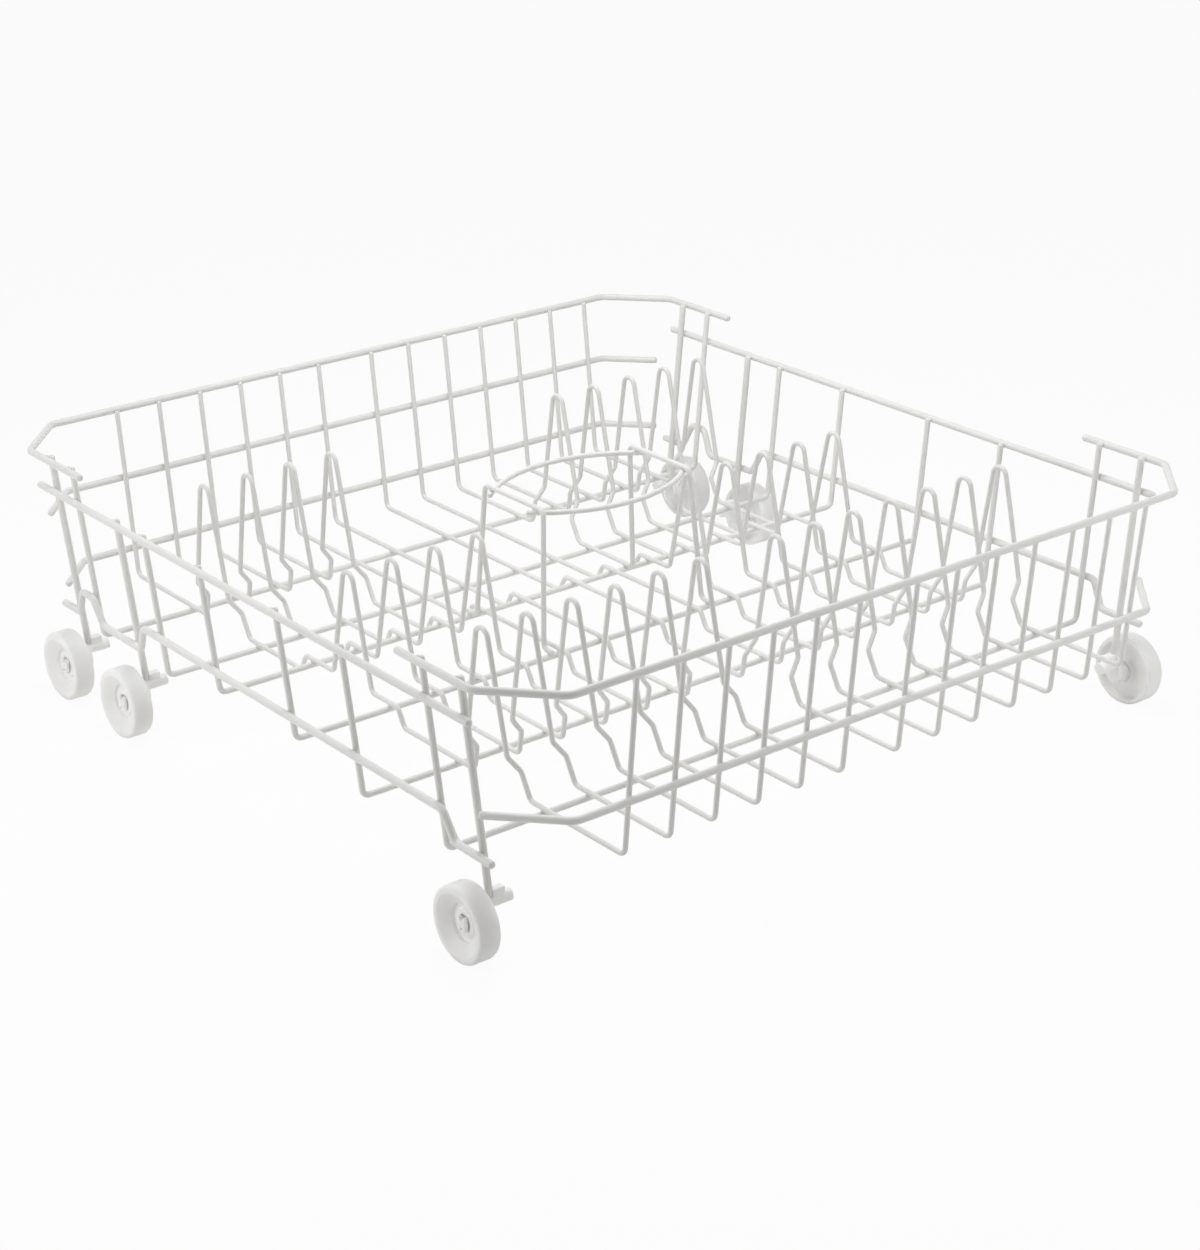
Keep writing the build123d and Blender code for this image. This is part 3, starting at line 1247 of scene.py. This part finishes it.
@dataclass(frozen=True)
class AxleClip:
    """Moulded clip on a post: a stub that takes the post, an arm down to the axle and the notched snap pin."""

    wheel: RackWheel
    play: float = 0.3 * MM
    flange: float = 3.4 * MM
    flange_r: float = 6.6 * MM
    axle_r: float = 4.5 * MM
    lip: float = 0.9 * MM
    head: float = 2.0 * MM
    flat: float = 0.72
    notch: float = 1.2 * MM
    notch_mouth: float = 4.2 * MM
    notch_depth: float = 2.2 * MM
    notch_length: float = 6.5 * MM
    arm: float = 4.2 * MM
    arm_r: float = 5 * MM
    stub_r: float = 3.5 * MM
    stub_rise: float = 7 * MM
    stub_past_post: float = 12.5 * MM
    tab_width: float = 5 * MM
    tab_setback: float = 4.6 * MM
    tab_rise: float = 3.4 * MM
    arc_steps: int = 16
    heel_steps: int = 24
    grain: float = 0.2 * MM
    softness: float = 0.5
    smoothing: int = 3
    keep: float = 0.35

    @staticmethod
    def solid(shape: bmesh.types.BMesh, outline: list[Pair], start: float, end: float, shrink: float = 1.0) -> None:
        """Adds a prism or a tapered one along X.

        Args:
            shape: the mesh it goes into.
            outline: Y and Z of each point.
            start: X of the first face.
            end: X of the second face.
            shrink: size of the second face against the first, about the axis.
        """
        first = [shape.verts.new((start, y, z)) for y, z in outline]
        second = [shape.verts.new((end, y * shrink, z * shrink)) for y, z in outline]
        shape.faces.new(first)
        shape.faces.new(list(reversed(second)))
        for i in range(len(outline)):
            j = (i + 1) % len(outline)
            shape.faces.new((first[j], first[i], second[i], second[j]))

    @staticmethod
    def circle(radius: float, z: float = 0.0, steps: int = 40) -> list[Pair]:
        """Outline of a round bar at a height above the axle."""
        turns = [step * math.tau / steps for step in range(steps)]
        return [(radius * math.cos(turn), z + radius * math.sin(turn)) for turn in turns]

    def slotted(self, radius: float) -> list[Pair]:
        """Outline of the pin, with flats at its sides and flared notches at top and bottom.

        Args:
            radius: the pin's radius before its flats.

        Returns:
            Y and Z of each point.
        """
        half = self.notch / 2
        start = math.asin(self.notch_mouth / 2 / radius)
        arc = sweep(start, math.pi - 2 * start, self.arc_steps)
        right = [(radius * min(math.sin(turn), self.flat), radius * math.cos(turn)) for turn in arc]
        depth = self.axle_r - self.notch_depth
        half_loop = [(half, depth), *right, (half, -depth)]
        return half_loop + [(-y, -z) for y, z in half_loop]

    def arm_outline(self) -> list[Pair]:
        """Outline of the arm, round at the axle and, narrower, at the stub.

        Returns:
            Y and Z of each point.
        """
        slope = math.asin((self.arm_r - self.stub_r) / self.stub_rise)
        swing = math.pi - 2 * slope
        upper = sweep(slope, swing, self.arc_steps)
        lower = sweep(math.pi - slope, math.tau - swing, self.heel_steps)
        points = [(self.stub_r * math.cos(t), self.stub_rise + self.stub_r * math.sin(t)) for t in upper]
        return points + [(self.arm_r * math.cos(t), self.arm_r * math.sin(t)) for t in lower]

    def blank(self, post_depth: float) -> bpy.types.Mesh:
        """Joins the clip's solids, blends them into one skin and thins it.

        Args:
            post_depth: from the wheel's outer face to the post's centre at the stub.

        Returns:
            The clip's mesh, along X from the wheel's outer face inwards, with the axle at the origin.
        """
        head_start = self.wheel.hub_setback - self.play
        tip = head_start - self.head
        flange_start = self.wheel.width + self.play
        arm_start = flange_start + self.flange
        stub_end = post_depth + self.stub_past_post
        tab_top = self.stub_rise + self.stub_r + self.tab_rise
        half_tab = self.tab_width / 2
        tab = [(-half_tab, self.stub_rise), (half_tab, self.stub_rise), (half_tab, tab_top), (-half_tab, tab_top)]

        shape = bmesh.new()
        lip_r = self.axle_r + self.lip
        self.solid(shape, self.slotted(lip_r), head_start, tip, self.axle_r / lip_r)
        self.solid(shape, self.slotted(self.axle_r), tip + self.head / 2, tip + self.notch_length)
        self.solid(shape, self.circle(self.axle_r), tip + self.notch_length - self.grain, arm_start)
        self.solid(shape, self.circle(self.flange_r), flange_start, arm_start + self.grain)
        self.solid(shape, self.arm_outline(), arm_start, arm_start + self.arm)
        self.solid(shape, self.circle(self.stub_r, self.stub_rise), arm_start, stub_end)
        self.solid(shape, tab, post_depth, stub_end - self.tab_setback)
        bmesh.ops.recalc_face_normals(shape, faces=shape.faces)
        mesh = bpy.data.meshes.new("clip_blank")
        shape.to_mesh(mesh)
        shape.free()
        return self.skinned(mesh)

    def skinned(self, mesh: bpy.types.Mesh) -> bpy.types.Mesh:
        """Blends overlapping solids into one smooth skin.

        Args:
            mesh: the solids, which are removed.

        Returns:
            The skin's mesh.
        """
        blank = linked("clip_blank", mesh)
        remesh = blank.modifiers.new("skin", "REMESH")
        remesh.mode, remesh.voxel_size = "VOXEL", self.grain
        remesh.use_smooth_shade = True
        smooth = blank.modifiers.new("soften", "SMOOTH")
        smooth.factor, smooth.iterations = self.softness, self.smoothing
        thin = blank.modifiers.new("thin", "DECIMATE")
        thin.ratio = self.keep
        skin = evaluated_mesh(blank)
        bpy.data.objects.remove(blank)
        bpy.data.meshes.remove(mesh)
        return skin


# Studio


@dataclass(frozen=True)
class PhotoCamera:
    """Camera at the photograph's angle, aimed at a point of the rack."""

    azimuth: float = math.radians(-37.943)
    elevation: float = math.radians(22.90)
    roll: float = math.radians(-0.764)
    distance: float = 1.6592
    aim_right: float = 5.193 * MM
    aim_up: float = -6.28 * MM
    aim_z: float = 57.2 * MM
    lens: float = 81.77
    sensor: float = 36.0
    drop: float = -0.003

    def place(self) -> None:
        """Adds the camera and makes it the scene's."""
        around, above = self.azimuth, self.elevation
        back = Vector((math.sin(around) * math.cos(above), -math.cos(around) * math.cos(above), math.sin(above)))
        right = Vector((0, 0, 1)).cross(back).normalized()
        up = back.cross(right)
        turned_right = right * math.cos(self.roll) + up * math.sin(self.roll)
        turned_up = up * math.cos(self.roll) - right * math.sin(self.roll)
        spot = turned_right * self.aim_right + turned_up * self.aim_up + back * self.distance
        spot.z += self.aim_z
        data = bpy.data.cameras.new("photo_camera")
        data.sensor_fit, data.sensor_width, data.lens = "HORIZONTAL", self.sensor, self.lens
        data.shift_y = self.drop
        camera = linked("photo_camera", data)
        axes = Matrix((turned_right, turned_up, back)).transposed().to_4x4()
        camera.matrix_world = Matrix.Translation(spot) @ axes
        bpy.context.scene.camera = camera


@dataclass(frozen=True)
class Lamp:
    """One soft round lamp: its place, its power, the point it is aimed at and its size."""

    name: str
    place: Triple
    power: float
    aim: Triple
    size: float = 0.5

    def add(self) -> None:
        """Adds the lamp."""
        data = bpy.data.lights.new(self.name, "AREA")
        data.shape, data.size, data.energy = "DISK", self.size, self.power
        lamp = linked(self.name, data)
        lamp.location = self.place
        lamp.visible_camera = False
        lamp.rotation_euler = (Vector(self.aim) - Vector(self.place)).to_track_quat("-Z", "Y").to_euler()


@dataclass(frozen=True)
class Studio:
    """Plain pale floor, white surround and soft lamps above, in front and at the left side."""

    floor_size: float = 12.0
    floor_colour: tuple[float, float, float, float] = (0.88, 0.875, 0.86, 1.0)
    floor_glow: float = 0.93
    dim_side: float = 0.02
    bright_side: float = 0.63
    bright_way: Triple = (-0.12, 0.62, 0.775)
    bright_span: Pair = (-0.25, 0.90)
    lamps: tuple[Lamp, ...] = (
        Lamp("over_lamp", (0.03, 0.05, 0.66), 2.0, (0.03, 0.05, 0.0)),
        Lamp("front_lamp", (0.42, -0.82, 0.42), 2.1, (0.14, 0.0, 0.06)),
        Lamp("side_lamp", (-0.90, 0.18, 0.36), 2.0, (-0.05, 0.06, 0.05)),
    )

    @staticmethod
    def seen(sheet: ShaderSheet) -> Socket:
        """Adds what is 1 for rays that show the background.

        Args:
            sheet: the sheet it is added to.

        Returns:
            Its socket.
        """
        path = sheet.add("ShaderNodeLightPath")
        total = path.outputs["Is Camera Ray"]
        for label in ("Is Glossy Ray", "Is Transmission Ray"):
            total = sheet.combined("MAXIMUM", total, path.outputs[label])
        return total

    def surround_world(self) -> None:
        """Builds the world: white where it is seen, and as light dimmer towards the front."""
        world = bpy.data.worlds.new("studio")
        bpy.context.scene.world = world
        sheet = ShaderSheet.on(world)
        way = sheet.add("ShaderNodeVectorMath")
        way.operation = "DOT_PRODUCT"
        way.inputs[1].default_value = self.bright_way
        sheet.link(sheet.add("ShaderNodeTexCoord").outputs["Generated"], way.inputs[0])
        low, high = self.bright_span
        level = sheet.add(
            "ShaderNodeMapRange", From_Min=low, From_Max=high, To_Min=self.dim_side, To_Max=self.bright_side,
        )
        sheet.link(way.outputs["Value"], level.inputs["Value"])
        light = sheet.add("ShaderNodeBackground", Color=WHITE)
        sheet.link(level.outputs["Result"], light.inputs["Strength"])
        white = sheet.add("ShaderNodeBackground", Color=WHITE, Strength=1.0)
        sheet.close(sheet.mixed(self.seen(sheet), light, white), "ShaderNodeOutputWorld")

    def floor(self) -> None:
        """Lays the floor, which is nearly white where it is seen and keeps a faint shadow."""
        mesh = bpy.data.meshes.new("studio_floor")
        half = self.floor_size / 2
        mesh.from_pydata([(-half, -half, 0), (half, -half, 0), (half, half, 0), (-half, half, 0)], [], [(0, 1, 2, 3)])
        sheet = ShaderSheet.on(bpy.data.materials.new("studio_floor"))
        matt = sheet.add("ShaderNodeBsdfDiffuse", Color=self.floor_colour)
        white = sheet.add("ShaderNodeEmission", Strength=1.0)
        share = sheet.combined("MULTIPLY", self.seen(sheet), self.floor_glow)
        mesh.materials.append(sheet.close(sheet.mixed(share, matt, white)))
        floor = linked("studio_floor", mesh)

    def build(self) -> None:
        """Builds the surround, the floor, the lamps and the camera."""
        bpy.context.scene.view_settings.view_transform = "Standard"
        self.surround_world()
        self.floor()
        for lamp in self.lamps:
            lamp.add()
        PhotoCamera().place()


# Rack


def stand_for(piece: bpy.types.Object, body: str, slot: Slot, *nodes: str) -> None:
    """Rides a piece on a body and hides the CAD nodes it replaces.

    Args:
        piece: the finished piece.
        body: the CAD body it moves with.
        slot: not used.
        nodes: the CAD nodes it replaces.
    """
    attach(piece, body)
    if nodes:
        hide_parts(*nodes)
    LOG.info("%s rides on %s, %d faces", piece.name, body, len(piece.data.polygons))


class WireRack:
    """The whole rack: all its wires, the welds, the wheels and the clips."""

    def __init__(self) -> None:
        """Measures the frame and lays out every wire."""
        walls = Walls.from_frame()
        crosses = CrossWires(walls)
        self.posts = WheelPosts(walls)
        groups = (EndRails(walls), SideRails(walls), crosses, TineWires(walls, crosses),
                  CentreGuide(walls, crosses), self.posts)
        self.wires = [wire for group in groups for wire in group.wires()]
        self.coating = WireCoating().material()
        wheel = MouldedPlastic(Slot.WHEEL.value, (0.962, 0.955, 0.943), (0.95, 0.936, 0.916))
        clip = MouldedPlastic(Slot.CLIP.value, (0.95, 0.944, 0.932), (0.932, 0.918, 0.90))
        self.wheel_plastic, self.clip_plastic = wheel.material(), clip.material()

    def build_wires(self) -> None:
        """Makes every wire and the webs at their welds."""
        bender = WireBender()
        for wire in self.wires:
            stand_for(bender.make(wire, self.coating), RACK, Slot.WIRE, wire.node)
        stand_for(WeldWebs(self.wires).make(WeldTree(), self.coating), RACK, Slot.WIRE)

    def build_wheels(self) -> None:
        """Makes the wheels and the clips that carry them."""
        wheel, axles = RackWheel(), Axle.all()
        clip = AxleClip(wheel)
        blank = clip.blank(axles[0].face_x - self.posts.centre_x(axles[0].z + clip.stub_rise))
        for axle in axles:
            rolling = wheel.make(axle, self.wheel_plastic)
            stand_for(rolling, f"{axle.label}_wheel", Slot.WHEEL, f"wheel_{axle.label}")
            holder = axle.carry(f"moulded_clip_{axle.label}", blank.copy(), self.clip_plastic)
            stand_for(holder, RACK, Slot.CLIP, f"axle_clip_{axle.label}")
        bpy.data.meshes.remove(blank)


def main() -> None:
    """Builds the studio and the rack, and reports each piece."""
    logging.basicConfig(level=logging.INFO, format="%(name)s: %(message)s")
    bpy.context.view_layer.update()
    Studio().build()
    rack = WireRack()
    rack.build_wires()
    rack.build_wheels()


if __name__ == "__main__":
    main()
